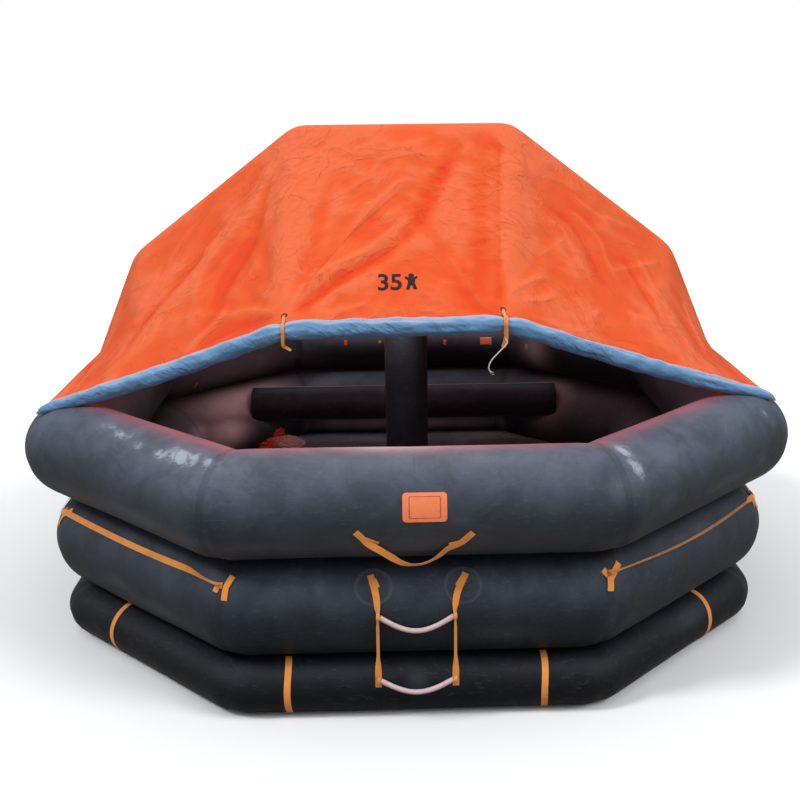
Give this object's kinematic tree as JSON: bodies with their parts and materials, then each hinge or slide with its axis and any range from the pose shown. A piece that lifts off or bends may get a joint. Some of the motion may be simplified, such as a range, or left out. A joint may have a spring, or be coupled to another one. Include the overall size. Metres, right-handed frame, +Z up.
{
  "type": "self-righting life raft",
  "caption": "Canopied octagonal self-righting life raft of stacked inflated tubes, with a raised arch, rolled entrance curtains, boarding ladders and lifelines.",
  "frame": {"origin": "on the floor below the raft's centre", "axes": "+Z up, the entrance that the picture shows faces -Y, +X to the right seen from it"},
  "size_m": [5.1546, 5.1628, 3.398],
  "materials": {
    "tube_fabric": "dark slate rubber-coated fabric with a soft satin sheen",
    "canopy_fabric": "orange coated canopy cloth, matte, creased",
    "lining_fabric": "light blue coated lining cloth, rolled up",
    "webbing": "orange woven webbing",
    "rung_tube": "pale flexible plastic tube",
    "label_panel": "orange rubber-coated patch, left without text",
    "white_cord": "thin white braided cord"
  },
  "bodies": {
    "root": {"arch_tube": "tube_fabric", "buoyancy_tube_lower": "tube_fabric", "buoyancy_tube_middle": "tube_fabric", "buoyancy_tube_upper": "tube_fabric", "canopy_front": "canopy_fabric", "canopy_rear": "canopy_fabric", "centre_pillar": "tube_fabric", "corner_patch_1": "webbing", "corner_patch_2": "webbing", "corner_patch_3": "webbing", "corner_patch_4": "webbing", "corner_patch_5": "webbing", "corner_patch_6": "webbing", "corner_patch_7": "webbing", "corner_patch_8": "webbing", "curtain_roll_front": "lining_fabric", "curtain_roll_rear": "lining_fabric", "floor_mattress": "tube_fabric", "grab_strap_front": "webbing", "grab_strap_rear": "webbing", "label_panel": "label_panel", "ladder_rung_front_lower": "rung_tube", "ladder_rung_front_upper": "rung_tube", "ladder_rung_rear_lower": "rung_tube", "ladder_rung_rear_upper": "rung_tube", "ladder_strap_front_left": "webbing", "ladder_strap_front_right": "webbing", "ladder_strap_rear_left": "webbing", "ladder_strap_rear_right": "webbing", "lifeline_front_left": "webbing", "lifeline_front_right": "webbing", "lifeline_left": "webbing", "lifeline_rear_left": "webbing", "lifeline_rear_right": "webbing", "lifeline_right": "webbing", "lower_strap_front_1": "webbing", "lower_strap_front_2": "webbing", "lower_strap_front_left": "webbing", "lower_strap_front_right": "webbing", "lower_strap_rear_1": "webbing", "lower_strap_rear_2": "webbing", "lower_strap_rear_left": "webbing", "lower_strap_rear_right": "webbing", "thwart_front": "tube_fabric", "thwart_rear": "tube_fabric", "tie_cord_front_right": "white_cord", "tie_strap_front_left": "webbing", "tie_strap_front_right": "webbing", "tie_strap_rear_left": "webbing", "tie_strap_rear_right": "webbing"}
  },
  "joints": []
}
